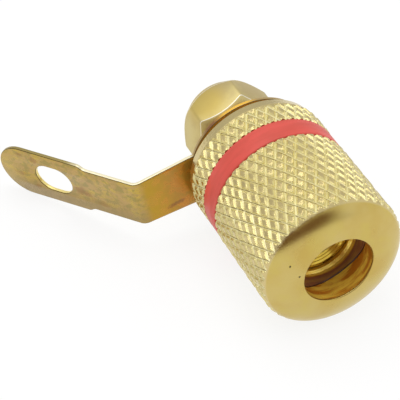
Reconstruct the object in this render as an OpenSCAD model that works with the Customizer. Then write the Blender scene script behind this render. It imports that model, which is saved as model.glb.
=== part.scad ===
// Screw-down binding post with a 4 mm banana socket in its end and a bent solder lug behind it.
// The axis is level along Y with the mouth towards -Y, and +Z is up.
// The origin is on the axis, in the flange face that the lug and the panel are clamped against.

/* [Knurled cap] */
// Diameter over the crests of the knurl
cap_d = 12.5; // [12:0.1:15]
// Length of the cap from its mouth to its rear edge
cap_len = 15.25; // [14:0.05:20]
// Length of the domed nose along the axis
nose_depth = 1.5; // [1:0.1:2.4]
// Fullness of the dome, where 2 is an ellipse and 1 a cone
nose_fullness = 1.7; // [1.3:0.1:2.3]
// Width of the flat lip round the mouth
lip_w = 0.15; // [0.05:0.05:0.6]
// Length of the plain band behind the knurl
rear_band = 0.97; // [0.5:0.01:1.4]
// Radius that the plain band loses to its rear edge
rear_taper = 0.16; // [0.05:0.01:0.5]
// Depth of the plain band's front edge below the crests
rear_drop = 0.09; // [0.05:0.01:0.2]

/* [Knurl] */
// Grooves round the cap in each direction
knurl_starts = 42; // [30:1:48]
// Angle of the grooves to the axis, in degrees
knurl_angle = 28; // [20:1:40]
// Depth of the grooves
knurl_depth = 0.25; // [0.1:0.05:0.4]

/* [Color ring] */
// Distance from the mouth to the groove of the ring
ring_at = 9.95; // [7:0.05:11]
// Width of the groove of the ring
groove_w = 2.22; // [1.4:0.02:3]
// Depth of the groove below the crests
groove_depth = 0.75; // [0.6:0.05:1]
// Depth of the ring's face below the crests
ring_inset = 0.06; // [0:0.02:0.2]
// Edge chamfer of the ring
ring_edge = 0.08; // [0.02:0.02:0.15]

/* [Post] */
// Outer diameter of the threaded post inside the cap
post_d = 5.9; // [5.5:0.1:6.6]
// Distance from the mouth to the end of the post
post_recess = 3.75; // [2:0.05:5]
// Bore of the banana socket
socket_d = 4.1; // [4:0.05:4.4]
// Straight depth of the banana socket from the end of the post
socket_len = 11; // [8:0.1:11.5]
// Width of the chamfer that leads into the socket
socket_lead = 0.5; // [0.2:0.05:0.6]
// Chamfer round the end of the post
post_edge = 0.25; // [0.05:0.05:0.3]
// Diameter of the wire hole across the post
wire_d = 2.5; // [1.5:0.1:3]
// Wall between the wire hole and the flange
wire_wall = 0.25; // [0.1:0.05:0.8]
// Diameter of the flange
flange_d = 9; // [7:0.1:9.6]
// Thickness of the flange
flange_t = 1.6; // [1:0.1:2]
// How far the flange stands out behind the cap
flange_proud = 0.72; // [0.4:0.01:1]
// Diameter of the threaded stud behind the flange
stud_d = 4; // [3:0.1:4.5]
// Length of stud that shows behind the nut
stud_end = 0.6; // [0.3:0.1:3]
// Chamfer round the end of the stud
stud_edge = 0.25; // [0.05:0.05:0.4]

/* [Solder lug] */
// Thickness of the sheet
lug_t = 0.35; // [0.2:0.05:0.6]
// Diameter of the ring round the stud
lug_ring_d = 11; // [9:0.1:12]
// Width of the arm where it leaves the ring
arm_w = 5.1; // [4.8:0.05:6]
// Width at the bend and along the leg
leg_w = 4.7; // [3.6:0.1:4.8]
// Distance from the axis to the bend
arm_len = 10.5; // [8:0.1:14]
// Angle of the bend, in degrees
bend_angle = 55.4; // [30:0.1:80]
// Inside radius of the bend
bend_r = 0.6; // [0.3:0.1:1]
// Length of the leg from the bend to its tip
leg_len = 14.55; // [13:0.05:18]
// Width of the round end
eye_w = 5.4; // [5:0.1:6.4]
// Distance from the bend to the shoulders of the round end
shoulder_at = 5.9; // [4:0.1:6.2]
// Length of the sloping shoulders
shoulder_len = 0.8; // [0.1:0.05:1.2]
// Length of the oval eye
eye_hole_l = 3.75; // [3:0.05:4.4]
// Width of the oval eye
eye_hole_w = 2.9; // [2:0.1:3]
// Distance from the bend to the middle of the eye
eye_at = 8.9; // [8.2:0.05:10]
// Angle of the lug below level, in degrees
lug_drop = 12.05; // [0:0.05:45]

/* [Nut] */
// Width across the flats
nut_af = 7.2; // [6.8:0.1:8]
// Thickness of the nut
nut_t = 4.45; // [3.4:0.05:5.5]
// Diameter of the flat ring that the chamfer leaves on the front face
nut_front_d = 6.6; // [5.2:0.1:6.7]
// Angle of the front chamfer to the face, in degrees
nut_front_angle = 40; // [25:1:45]
// Diameter of the flat ring that the chamfer leaves on the rear face
nut_rear_d = 5.8; // [5:0.1:6.6]
// Angle of the rear chamfer to the face, in degrees
nut_rear_angle = 52; // [30:1:55]
// Room left between the lug and the nut
nut_gap = 1.85; // [0.2:0.05:3]
// Turn of the nut about the axis, in degrees
nut_turn = 24.7; // [0:0.1:60]

/* [Fits] */
// Gap on the radius between the post and the cap
post_clearance = 0.1; // [0.05:0.01:0.2]
// Gap on the radius between the ring and its groove
ring_clearance = 0.1; // [0.05:0.01:0.2]
// Gap at each side of the ring
ring_side = 0.05; // [0.02:0.01:0.1]
// Gap between the flange and the floor of the cap's recess
flange_clearance = 0.1; // [0.05:0.01:0.3]
// Gap on the radius between the flange and the cap's recess
recess_clearance = 0.3; // [0.1:0.05:0.5]
// Gap on the radius between the lug and the stud
lug_clearance = 0.1; // [0.05:0.01:0.2]
// Gap on the radius between the nut and the stud
nut_clearance = 0.05; // [0.02:0.01:0.1]

/* [Hidden] */
$fn = 96;

gold = [0.83, 0.71, 0.40];
pale_gold = [0.80, 0.71, 0.45];
tarnished_gold = [0.70, 0.54, 0.25];
ring_red = [0.86, 0.33, 0.29];

cap_r = cap_d / 2;
root_r = cap_r - knurl_depth;
groove_r = cap_r - groove_depth;
bore_r = post_d / 2 + post_clearance;
lip_r = bore_r + lip_w;
recess_r = flange_d / 2 + recess_clearance;

// Depths are measured along the axis from the mouth of the cap.
seat_at = cap_len + flange_proud;
flange_at = seat_at - flange_t;
recess_at = flange_at - flange_clearance;
band_at = cap_len - rear_band;
groove_end = ring_at + groove_w;
wire_at = flange_at - wire_wall - wire_d / 2;
nut_at = seat_at + lug_t + nut_gap;
stud_end_at = nut_at + nut_t + stud_end;

// The knurled bands are sunk this far into the solids that they grow out of.
sink = 0.05;
// Cuts run past the faces that they open by this much.
over = 1;
knurl_core_r = (groove_r + recess_r) / 2;
knurl_pitch = PI * cap_d / knurl_starts;
knurl_row = knurl_pitch / tan(knurl_angle) / 2;
dome_steps = 24;
bend_steps = 12;
drill_point = 118;

// Turns depth along +Z into +Y and puts the clamping face at the origin.
module on_axis() {
    translate([0, -seat_at, 0])
        rotate([-90, 0, 0])
            children();
}

// Depth of the dome's surface at a radius, and its radius at a depth.
function dome_depth(r) =
    nose_depth * (1 - pow(1 - pow((r - lip_r) / (cap_r - lip_r), nose_fullness), 1 / nose_fullness));
function dome_radius(depth) =
    lip_r + (cap_r - lip_r) * pow(1 - pow(1 - depth / nose_depth, nose_fullness), 1 / nose_fullness);

// Radius of a knurl point: crests and roots alternate along each row and from row to row.
function knurl_radius(column, row, limit) = min(limit, (column + row) % 2 == 0 ? root_r : cap_r);

// One band of pyramid-shaped knurl. limit_front and limit_rear hold the end rows down to a radius.
module knurl_band(front, rear, limit_front, limit_rear) {
    rows = max(1, round((rear - front) / knurl_row));
    columns = 2 * knurl_starts;
    row_step = (rear - front) / rows;
    limit = function(row) row == 0 ? limit_front : (row == rows ? limit_rear : cap_r);
    skin = [
        for (row = [0:rows], column = [0:columns - 1])
            let (r = knurl_radius(column, row, limit(row)), a = 180 * column / knurl_starts)
                [r * cos(a), r * sin(a), front + row * row_step]
    ];
    core = [
        for (depth = [front, rear], column = [0:columns - 1])
            let (a = 180 * column / knurl_starts)
                [knurl_core_r * cos(a), knurl_core_r * sin(a), depth]
    ];
    at = function(row, column) row * columns + column % columns;
    core_at = function(end, column) len(skin) + end * columns + column % columns;
    // Each cell is split along the groove that runs across it.
    skin_faces = [
        for (row = [0:rows - 1], column = [0:columns - 1])
            let (a = at(row, column), b = at(row, column + 1))
            let (c = at(row + 1, column), d = at(row + 1, column + 1))
                each (row + column) % 2 == 0 ? [[a, c, d], [a, d, b]] : [[a, c, b], [c, d, b]]
    ];
    core_faces = [
        for (column = [0:columns - 1])
            [core_at(0, column), core_at(0, column + 1), core_at(1, column + 1), core_at(1, column)]
    ];
    front_faces = [
        for (column = [0:columns - 1])
            [at(0, column), at(0, column + 1), core_at(0, column + 1), core_at(0, column)]
    ];
    rear_faces = [
        for (column = [0:columns - 1])
            [core_at(1, column), core_at(1, column + 1), at(rows, column + 1), at(rows, column)]
    ];
    polyhedron(concat(skin, core), concat(skin_faces, core_faces, front_faces, rear_faces));
}

// Domed nose, plain core under the knurl, and the tapered band at the rear, as one turned profile.
module cap_core() {
    nose_end = dome_depth(root_r);
    dome = [
        for (i = [0:dome_steps])
            let (r = lip_r + (root_r - lip_r) * sin(90 * i / dome_steps))
                [r, dome_depth(r)]
    ];
    rotate_extrude()
        polygon(concat(
            [[0, 0]],
            dome,
            [
                [groove_r, nose_end],
                [groove_r, band_at],
                [cap_r - rear_drop, band_at],
                [cap_r - rear_drop - rear_taper, cap_len],
                [0, cap_len]
            ]
        ));
}

module knurled_cap() {
    knurl_front = dome_depth(root_r) - sink;
    color(gold)
        on_axis()
            difference() {
                union() {
                    cap_core();
                    knurl_band(knurl_front, ring_at, dome_radius(knurl_front) - sink, cap_r);
                    knurl_band(groove_end, band_at + 2 * sink, cap_r, cap_r - rear_drop - sink);
                }
                translate([0, 0, -over])
                    cylinder(r = bore_r, h = cap_len + 2 * over);
                translate([0, 0, recess_at])
                    cylinder(r = recess_r, h = cap_len - recess_at + over);
            }
}

module color_ring() {
    inner = groove_r + ring_clearance;
    outer = cap_r - ring_inset;
    front = ring_at + ring_side;
    rear = groove_end - ring_side;
    color(ring_red)
        on_axis()
            rotate_extrude()
                polygon([
                    [inner, front],
                    [outer - ring_edge, front],
                    [outer, front + ring_edge],
                    [outer, rear - ring_edge],
                    [outer - ring_edge, rear],
                    [inner, rear]
                ]);
}

// One turned piece: socket tube, flange and stud.
module post() {
    tube_r = post_d / 2;
    stud_r = stud_d / 2;
    socket_r = socket_d / 2;
    socket_end = post_recess + socket_len;
    socket_tip = socket_end + socket_r / tan(drill_point / 2);
    color(pale_gold)
        on_axis()
            difference() {
                rotate_extrude()
                    polygon([
                        [socket_r + socket_lead, post_recess],
                        [tube_r - post_edge, post_recess],
                        [tube_r, post_recess + post_edge],
                        [tube_r, flange_at],
                        [flange_d / 2, flange_at],
                        [flange_d / 2, seat_at],
                        [stud_r, seat_at],
                        [stud_r, stud_end_at - stud_edge],
                        [stud_r - stud_edge, stud_end_at],
                        [0, stud_end_at],
                        [0, socket_tip],
                        [socket_r, socket_end],
                        [socket_r, post_recess + socket_lead]
                    ]);
                translate([0, 0, wire_at])
                    rotate([90, 0, 0])
                        cylinder(d = wire_d, h = post_d + 2 * over, center = true);
            }
}

// Section through the bent sheet, with the distance from the axis along X and the depth along Y.
module lug_section() {
    outer_r = bend_r + lug_t;
    tangent = outer_r * tan(bend_angle / 2);
    bend_x = arm_len - tangent;
    arc = function(r) [
        for (i = [0:bend_steps])
            let (a = bend_angle * i / bend_steps - 90)
                [bend_x + r * cos(a), outer_r + r * sin(a)]
    ];
    outer_arc = arc(outer_r);
    inner_arc = arc(bend_r);
    run = (leg_len - tangent) * [cos(bend_angle), sin(bend_angle)];
    polygon(concat(
        [[-lug_ring_d, 0]],
        outer_arc,
        [outer_arc[bend_steps] + run, inner_arc[bend_steps] + run],
        [for (i = [bend_steps:-1:0]) inner_arc[i]],
        [[-lug_ring_d, lug_t]]
    ));
}

// Flat outline of the ring and its tapering arm.
module arm_outline() {
    circle(d = lug_ring_d);
    polygon([
        [0, -arm_w / 2],
        [lug_ring_d / 2, -arm_w / 2],
        [arm_len - bend_r, -leg_w / 2],
        [arm_len + bend_r, -leg_w / 2],
        [arm_len + bend_r, leg_w / 2],
        [arm_len - bend_r, leg_w / 2],
        [lug_ring_d / 2, arm_w / 2],
        [0, arm_w / 2]
    ]);
}

// Flat outline of the leg from the bend to its round end.
module leg_outline() {
    round_at = leg_len - eye_w / 2;
    polygon([
        [0, -leg_w / 2],
        [shoulder_at - shoulder_len, -leg_w / 2],
        [shoulder_at, -eye_w / 2],
        [round_at, -eye_w / 2],
        [round_at, eye_w / 2],
        [shoulder_at, eye_w / 2],
        [shoulder_at - shoulder_len, leg_w / 2],
        [0, leg_w / 2]
    ]);
    translate([round_at, 0])
        circle(d = eye_w);
}

module eye_outline() {
    spread = (eye_hole_l - eye_hole_w) / 2;
    for (side = [-1, 1])
        translate([eye_at + side * spread, 0])
            circle(d = eye_hole_w);
    translate([eye_at, 0])
        square([2 * spread, eye_hole_w], center = true);
}

// Puts an outline square to the leg, with its X axis along the leg.
module along_leg() {
    reach = 2 * (bend_r + lug_t);
    translate([arm_len, 0, 0])
        rotate([0, -bend_angle, 0])
            translate([0, 0, -reach])
                linear_extrude(2 * reach)
                    children();
}

module solder_lug() {
    sheet_w = 2 * lug_ring_d;
    color(tarnished_gold)
        on_axis()
            translate([0, 0, seat_at])
                rotate([0, 0, 180 - lug_drop])
                    difference() {
                        intersection() {
                            rotate([90, 0, 0])
                                linear_extrude(sheet_w, center = true)
                                    lug_section();
                            union() {
                                translate([0, 0, -over])
                                    linear_extrude(2 * over + bend_r + lug_t)
                                        arm_outline();
                                along_leg()
                                    leg_outline();
                            }
                        }
                        translate([0, 0, -over])
                            cylinder(r = stud_d / 2 + lug_clearance, h = lug_t + 2 * over);
                        along_leg()
                            eye_outline();
                    }
}

// Hexagon with both ends turned to a chamfer, the rear one longer.
module hex_nut() {
    corner_r = nut_af / 2 / cos(30);
    front_r = nut_front_d / 2;
    rear_r = nut_rear_d / 2;
    cut_r = corner_r + sink;
    bore = stud_d / 2 + nut_clearance;
    color(pale_gold)
        on_axis()
            translate([0, 0, nut_at])
                rotate([0, 0, -nut_turn])
                    intersection() {
                        difference() {
                            cylinder(r = corner_r, h = nut_t, $fn = 6);
                            translate([0, 0, -over])
                                cylinder(r = bore, h = nut_t + 2 * over);
                        }
                        rotate_extrude()
                            polygon([
                                [0, 0],
                                [front_r, 0],
                                [cut_r, (cut_r - front_r) * tan(nut_front_angle)],
                                [cut_r, nut_t - (cut_r - rear_r) * tan(nut_rear_angle)],
                                [rear_r, nut_t],
                                [0, nut_t]
                            ]);
                    }
}

knurled_cap();
color_ring();
post();
solder_lug();
hex_nut();
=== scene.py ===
"""Gold-plated binding post with a banana socket, a red ring and a solder lug, set for a studio picture."""

import math

import bmesh
import bpy
from mathutils import Matrix, Vector, noise

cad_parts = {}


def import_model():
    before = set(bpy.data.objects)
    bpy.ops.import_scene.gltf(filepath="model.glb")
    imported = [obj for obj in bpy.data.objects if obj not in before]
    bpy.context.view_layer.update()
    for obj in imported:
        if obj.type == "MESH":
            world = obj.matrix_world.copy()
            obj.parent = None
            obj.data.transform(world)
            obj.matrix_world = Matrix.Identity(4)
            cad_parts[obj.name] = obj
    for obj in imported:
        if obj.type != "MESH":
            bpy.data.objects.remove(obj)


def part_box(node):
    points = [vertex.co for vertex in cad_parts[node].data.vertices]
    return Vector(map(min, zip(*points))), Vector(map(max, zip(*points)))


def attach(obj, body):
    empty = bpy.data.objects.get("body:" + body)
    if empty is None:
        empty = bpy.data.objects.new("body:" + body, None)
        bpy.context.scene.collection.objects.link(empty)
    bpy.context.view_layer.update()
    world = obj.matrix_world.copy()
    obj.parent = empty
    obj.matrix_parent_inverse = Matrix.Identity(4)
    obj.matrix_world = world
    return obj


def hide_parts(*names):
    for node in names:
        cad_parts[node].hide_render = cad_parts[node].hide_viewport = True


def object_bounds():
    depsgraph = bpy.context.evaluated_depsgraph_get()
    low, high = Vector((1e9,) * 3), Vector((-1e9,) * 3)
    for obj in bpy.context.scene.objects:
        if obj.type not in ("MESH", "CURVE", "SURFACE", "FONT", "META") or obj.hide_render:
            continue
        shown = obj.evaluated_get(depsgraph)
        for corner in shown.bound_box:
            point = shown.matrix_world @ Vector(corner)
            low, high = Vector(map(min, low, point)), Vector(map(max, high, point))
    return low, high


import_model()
cad_low, cad_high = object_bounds()

# Sizes are in millimetres, and depths run along the axis from the mouth of the cap.
MM = 0.001
cap_low, cap_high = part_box("knurled_cap")
ring_low, ring_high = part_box("color_ring")
post_low, post_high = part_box("post")
nut_low, nut_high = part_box("hex_nut")
mouth_y = cap_low.y
floor_z = cad_low.z

CAP_R = (cap_high.x - cap_low.x) / 2 / MM
CAP_LEN = (cap_high.y - cap_low.y) / MM
SEAT = -mouth_y / MM
POST_END = (post_low.y - mouth_y) / MM
STUD_TIP = (post_high.y - mouth_y) / MM
FLANGE_R = (post_high.x - post_low.x) / 2 / MM
RING_R = (ring_high.x - ring_low.x) / 2 / MM
RING_FRONT = (ring_low.y - mouth_y) / MM
RING_REAR = (ring_high.y - mouth_y) / MM
NUT_FRONT = (nut_low.y - mouth_y) / MM
NUT_REAR = (nut_high.y - mouth_y) / MM

# Softened edges, and the steps in a rounded one
EDGE = 0.06
EDGE_STEPS = 4

# Cap
BORE_R = 3.05
LIP_R = 3.2
RIM_ROUND = 0.12
NOSE_DEPTH = 1.5
NOSE_FULLNESS = 1.7
NOSE_ROWS = 14
REAR_BAND = 0.97
REAR_DROP = 0.09
REAR_TAPER = 0.16
BAND_AT = CAP_LEN - REAR_BAND
RECESS_R = 4.8
RECESS_AT = 14.27
PITS = ((4.63, math.radians(156.9)), (3.59, math.radians(168.9)))

# Ring and its groove, whose edges stand a little lower than the knurl
RING_SIDE = 0.05
RING_CLEARANCE = 0.1
RING_EDGE = 0.14
RING_COLUMNS = 192
GROOVE_DEPTH = 0.75
GROOVE_R = CAP_R - GROOVE_DEPTH
GROOVE_FROM = RING_FRONT - RING_SIDE
GROOVE_TO = RING_REAR + RING_SIDE
GROOVE_LIP = 0.14
LIP_DROP = 0.07

# Knurl: grooves each way, their angle and depth, and the mesh's steps across half a diamond
KNURL_STARTS = 42
KNURL_ANGLE = math.radians(28)
KNURL_DEPTH = 0.25
KNURL_SPLIT = 6
KNURL_PITCH = 2 * math.pi * CAP_R / KNURL_STARTS
KNURL_ROW = KNURL_PITCH / math.tan(KNURL_ANGLE) / 2
KNURL_COLUMNS = 2 * KNURL_STARTS * KNURL_SPLIT
# Share of a diamond that its slopes take, and how far single diamonds lean, wear down and stray
KNURL_CREST = 0.45
KNURL_LEAN = 0.8
KNURL_WEAR = 0.12
KNURL_SWAY = 0.05
SWAY_GRAIN = 0.9
SWAY_APART = Vector((40, 0, 0))
# Share of the grooves' depth at which the nose cuts them off, and the least height kept by the family of
# grooves with the painted highlight, so no painted shade falls in it
KNURL_FRONT = 0.85
KNURL_HIGHLIT_LEAST = 0.3

# Bore of the cap: a plain wall, a scored line, a stained band, turned ridges, and the thread behind them
SCORE_AT = 1.02
SCORE_SWING = 1.32
SCORE_LOW = math.radians(297)
SCORE_LEAST = 0.6
SCORE_W = 0.12
SCORE_SOFT = 0.06
SCORE_DEPTH = 0.06
STAIN_TO = 2.97
RIDGE_FROM = 3.3
RIDGE_PITCH = 0.22
RIDGE_DEPTH = 0.11
BORE_THREAD_FROM = 3.9

# Threads, with the mesh's rows to a turn, the share cut off at crest and root, and the gap to a chamfer
CAP_PITCH = 1.0
STUD_PITCH = 0.7
THREAD_DEPTH = 0.22
STUD_THREAD_DEPTH = 0.8 * THREAD_DEPTH
THREAD_ROWS = 6
THREAD_FLAT = 0.2
THREAD_GAP = 0.05

# Post: socket with a ridged lead, wire hole, flange and stud
POST_R = 2.95
POST_EDGE = 0.25
POST_RELIEF = 0.3
SOCKET_R = 2.05
SOCKET_LEN = 11.0
SOCKET_LEAD = 0.5
DRILL_HALF = math.radians(59)
FLANGE_T = 1.6
WIRE_R = 1.25
WIRE_AT = 12.87
WIRE_SIDES = 64
STUD_R = 2.0
STUD_EDGE = 0.25
STUD_RELIEF = 0.1
HUB_R = 0.04
POST_COLUMNS = 144
# Share of the end's chamfer at which a line of painted shade lies
POST_LINE = 0.6
# Ridges in the lead: shares of a ridge at which its cone ends and its groove of painted shade lies
LEAD_RIDGES = 3
LEAD_CONE = 0.75
LEAD_GROOVE_OUT = 0.9
LEAD_GROOVE_UP = 0.6

# Lug
LUG_T = 0.35
LUG_EDGE = 0.07
LUG_RING_R = 5.5
LUG_HOLE_R = 2.1
ARM_W = 5.1
LEG_W = 4.7
ARM_LEN = 10.5
BEND = math.radians(55.4)
BEND_R = 0.6
BEND_STEPS = 10
LEG_LEN = 14.55
EYE_W = 5.4
SHOULDER_AT = 5.9
SHOULDER_LEN = 0.8
EYE_L = 3.75
EYE_HOLE_W = 2.9
EYE_AT = 8.9
LUG_DROP = math.radians(12.05)
OUTER_R = BEND_R + LUG_T
BEND_TANGENT = OUTER_R * math.tan(BEND / 2)
BEND_X = ARM_LEN - BEND_TANGENT
BEND_RUN = BEND * (BEND_R + LUG_T / 2)
# Steps in the arcs of its outline
LUG_RING_STEPS = 96
LUG_HOLE_STEPS = 64
TIP_STEPS = 40
EYE_STEPS = 28
SHOULDER_STEPS = 8

# Nut
NUT_AF = 7.2
NUT_FRONT_R = 3.3
NUT_FRONT_SLOPE = math.tan(math.radians(40))
NUT_REAR_R = 2.9
NUT_REAR_SLOPE = math.tan(math.radians(52))
NUT_BORE_R = 2.05
NUT_LEAD = 0.25
NUT_CORNER = math.radians(24.7)
NUT_CORNER_ROUND = 0.05
NUT_EDGE = 0.08
NUT_COLUMNS = 240

# Lengths that count as none: between points of the drilled post and of the lug's sheet, and off a cut in it
DRILL_WELD = 0.001
SHEET_WELD = 0.002
SHEET_CUT = 1e-5
# Lean of a cell, in metres, that counts as flat, and share of a row that counts as none
FLAT_WITHIN = 1e-9
ROW_WITHIN = 1e-6


def spot(radius, angle, depth):
    """Point at a radius and angle round the axis, at a depth behind the mouth."""
    return Vector((radius * math.cos(angle) * MM, mouth_y + depth * MM, radius * math.sin(angle) * MM))


def steps(start, end, count):
    """Evenly spaced values from start to end, both included."""
    return [start + (end - start) * i / count for i in range(count + 1)]


def lathe_ring(columns, start, radius, depth):
    """Points of one ring. The radius and the depth are numbers or functions of the angle."""
    ring = []
    for i in range(columns):
        angle = start + 2 * math.pi * i / columns
        r = radius(angle) if callable(radius) else radius
        d = depth(angle) if callable(depth) else depth
        ring.append(spot(r, angle, d))
    return ring


def make_object(name, bm, material, body, node, sharp=30):
    """Makes a mesh into a shaded object with its finish, on its body and in place of a solid."""
    bmesh.ops.recalc_face_normals(bm, faces=bm.faces)
    mesh = bpy.data.meshes.new(name)
    bm.to_mesh(mesh)
    bm.free()
    mesh.shade_smooth()
    mesh.set_sharp_from_angle(angle=math.radians(sharp))
    mesh.materials.append(material)
    obj = bpy.data.objects.new(name, mesh)
    bpy.context.scene.collection.objects.link(obj)
    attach(obj, body)
    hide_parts(node)
    return obj


def grid_solid(rings, loop, relief=None):
    """Joins rings of points into a skin. A loop closes on itself, and otherwise the ends are filled in.

    A cell that isn't flat is split along the diagonal that lies nearer the axis, so grooves stay crisp.
    """
    bm = bmesh.new()
    layer = bm.verts.layers.float.new("relief")
    rows = []
    for k, ring in enumerate(rings):
        row = [bm.verts.new(point) for point in ring]
        for i, vert in enumerate(row):
            vert[layer] = relief[k][i] if relief else 1.0
        rows.append(row)
    columns = len(rows[0])
    pairs = list(zip(rows, rows[1:]))
    if loop:
        pairs.append((rows[-1], rows[0]))
    for low, high in pairs:
        for i in range(columns):
            j = (i + 1) % columns
            a, b, c, d = low[i], low[j], high[i], high[j]
            reach = [math.hypot(vert.co.x, vert.co.z) for vert in (a, b, c, d)]
            lean = reach[0] + reach[3] - reach[1] - reach[2]
            if abs(lean) < FLAT_WITHIN:
                bm.faces.new((a, b, d, c))
            elif lean < 0:
                bm.faces.new((a, b, d))
                bm.faces.new((a, d, c))
            else:
                bm.faces.new((a, b, c))
                bm.faces.new((b, d, c))
    if not loop:
        bm.faces.new(rows[0])
        bm.faces.new(rows[-1])
    return bm


def tooth(phase):
    """Height of a thread from 0 at its root to 1 on its crest, with a flat on each."""
    rise = 1 - abs(2 * (phase % 1) - 1)
    return min(1, max(0, (1 + 2 * THREAD_FLAT) * rise - THREAD_FLAT))


def thread_radius(crest, depth_at, pitch, height):
    """Radius round a right-handed thread at one depth, as a function of the angle."""
    return lambda angle: crest - height * (1 - tooth(depth_at / pitch + angle / (2 * math.pi)))


# Node trees

class Nodes:
    """A node tree, with short ways to add nodes to it."""

    def __init__(self, tree):
        self.tree = tree

    def add(self, kind, inputs=None, **settings):
        node = self.tree.nodes.new("ShaderNode" + kind)
        for name, value in settings.items():
            setattr(node, name, value)
        for name, value in (inputs or {}).items():
            self.put(node.inputs[name], value)
        return node

    def put(self, socket, value):
        """Links an input to another node's output, or sets it to a constant."""
        if isinstance(value, bpy.types.NodeSocket):
            self.tree.links.new(value, socket)
        else:
            socket.default_value = value

    def ramp(self, value, span, to=(0.0, 1.0)):
        """Smooth step between two numbers while a value crosses a span."""
        inputs = {"Value": value, "From Min": span[0], "From Max": span[1], "To Min": to[0], "To Max": to[1]}
        return self.add("MapRange", inputs, interpolation_type="SMOOTHSTEP").outputs["Result"]

    def math(self, operation, first, second=0.0):
        node = self.add("Math", operation=operation)
        self.put(node.inputs[0], first)
        self.put(node.inputs[1], second)
        return node.outputs[0]

    def times(self, first, second):
        return self.math("MULTIPLY", first, second)

    def plus(self, first, second):
        return self.math("ADD", first, second)

    def minus(self, first, second):
        return self.math("SUBTRACT", first, second)

    def mix(self, factor, first, second):
        node = self.add("Mix", data_type="RGBA")
        self.put(node.inputs[0], factor)
        self.put(node.inputs[6], first)
        self.put(node.inputs[7], second)
        return node.outputs[2]

    def vector(self, operation, first, second=(0, 0, 0)):
        """Result of a vector operation, which for a length, distance or dot product is a number."""
        node = self.add("VectorMath", operation=operation)
        self.put(node.inputs[0], first)
        self.put(node.inputs[1], second)
        return node.outputs["Value" if operation in ("LENGTH", "DISTANCE", "DOT_PRODUCT") else "Vector"]


class Finish(Nodes):
    """A metal or plastic finish of one piece."""

    def __init__(self, name, metallic):
        self.material = bpy.data.materials.new(name)
        self.material.use_nodes = True
        super().__init__(self.material.node_tree)
        self.shader = self.tree.nodes["Principled BSDF"]
        self.set("Metallic", metallic)

    def set(self, name, value):
        self.put(self.shader.inputs[name], value)

    def place(self):
        """Place on the piece as it is at rest, in metres in the shared frame."""
        return self.add("TexCoord").outputs["Object"]

    def parts(self, vector):
        return self.add("SeparateXYZ", {"Vector": vector}).outputs

    def depth(self, place):
        """Depth behind the mouth, in millimetres."""
        return self.times(self.minus(self.parts(place)["Y"], mouth_y), 1 / MM)

    def ray(self, place):
        """Place with its depth left out, which points straight out from the axis."""
        return self.vector("MULTIPLY", place, (1, 0, 1))

    def attribute(self, name):
        return self.add("Attribute", attribute_name=name).outputs

    def noise(self, coords, scale, detail=3.0, rough=0.55):
        inputs = {"Vector": coords, "Scale": scale, "Detail": detail, "Roughness": rough}
        return self.add("TexNoise", inputs).outputs["Fac"]

    def bump(self, height, strength, distance):
        inputs = {"Height": height, "Strength": strength, "Distance": distance}
        return self.add("Bump", inputs).outputs["Normal"]


def color(red, green, blue):
    return (red, green, blue, 1.0)


def gray(value):
    return color(value, value, value)


GOLD = color(0.605, 0.47, 0.16)
GOLD_WARM = color(0.57, 0.41, 0.107)
GOLD_LIME = color(0.605, 0.48, 0.115)
GOLD_PALE = color(0.67, 0.56, 0.25)
POST_REFLECTION_YELLOW = color(1.0, 0.74, 0.10)
POST_ROOT_SHADE = color(0.30, 0.18, 0.04)
POST_MARK = color(0.10, 0.07, 0.01)
NUT_EDGE_HIGHLIGHT = color(0.96, 0.93, 0.84)
NUT_ROSE = color(0.60, 0.485, 0.235)
NUT_WARM = color(0.70, 0.53, 0.13)
KNURL_TAN = color(0.64, 0.52, 0.24)
KNURL_SLOPE_HIGHLIGHT = color(0.82, 0.72, 0.31)
KNURL_LINE_HIGHLIGHT = color(1.0, 0.95, 0.60)
KNURL_ROOT_SHADE = color(0.34, 0.23, 0.05)
BORE_BRIGHT_REFLECTION = color(1.0, 0.76, 0.16)
BORE_GOLD_REFLECTION = color(1.0, 0.68, 0.09)
BORE_AMBER_REFLECTION = color(0.62, 0.23, 0.02)
BORE_STAIN = color(0.32, 0.14, 0.08)
BORE_SCORE = color(0.06, 0.02, 0.01)
PIT_BROWN = color(0.08, 0.06, 0.02)
RED = color(0.79, 0.088, 0.062)
RED_DEEP = color(0.68, 0.078, 0.050)
LUG_YELLOW = color(0.54, 0.38, 0.08)
LUG_KHAKI = color(0.44, 0.30, 0.10)
LUG_PINK = color(0.50, 0.33, 0.12)
LUG_OLIVE = color(0.35, 0.27, 0.08)
LUG_BROWN = color(0.34, 0.24, 0.10)
LUG_ARM_REFLECTION_AMBER = color(0.48, 0.28, 0.045)
LUG_ARM_REFLECTION_ORANGE = color(0.72, 0.31, 0.03)
LUG_MOSS = color(0.46, 0.30, 0.03)
LUG_RUST = color(0.26, 0.11, 0.03)
LUG_RIM_REFLECTION = color(0.95, 0.55, 0.05)
LUG_EDGE_PALE_AND_HIGHLIGHT = color(0.96, 0.88, 0.60)
LUG_HONEY = color(0.95, 0.78, 0.28)
LUG_EDGE_SHADE = color(0.07, 0.045, 0.015)

# Noise scales, in patches to a metre
CAP_BLOTCH = 260
CAP_HAZE = 420
CAP_FLECK = 3200
CAP_GRAIN = 9000
BORE_STREAK = 330
RING_STREAK = 300
RING_GRAIN = 7000
PLATE_BLOTCH = 320
PLATE_GRAIN = 8000

# Spans of a noise over which a tint comes in
WIDE = (0.3, 0.7)
BLOTCHES = (0.35, 0.7)
FLECKS = (0.35, 0.6)

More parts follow.
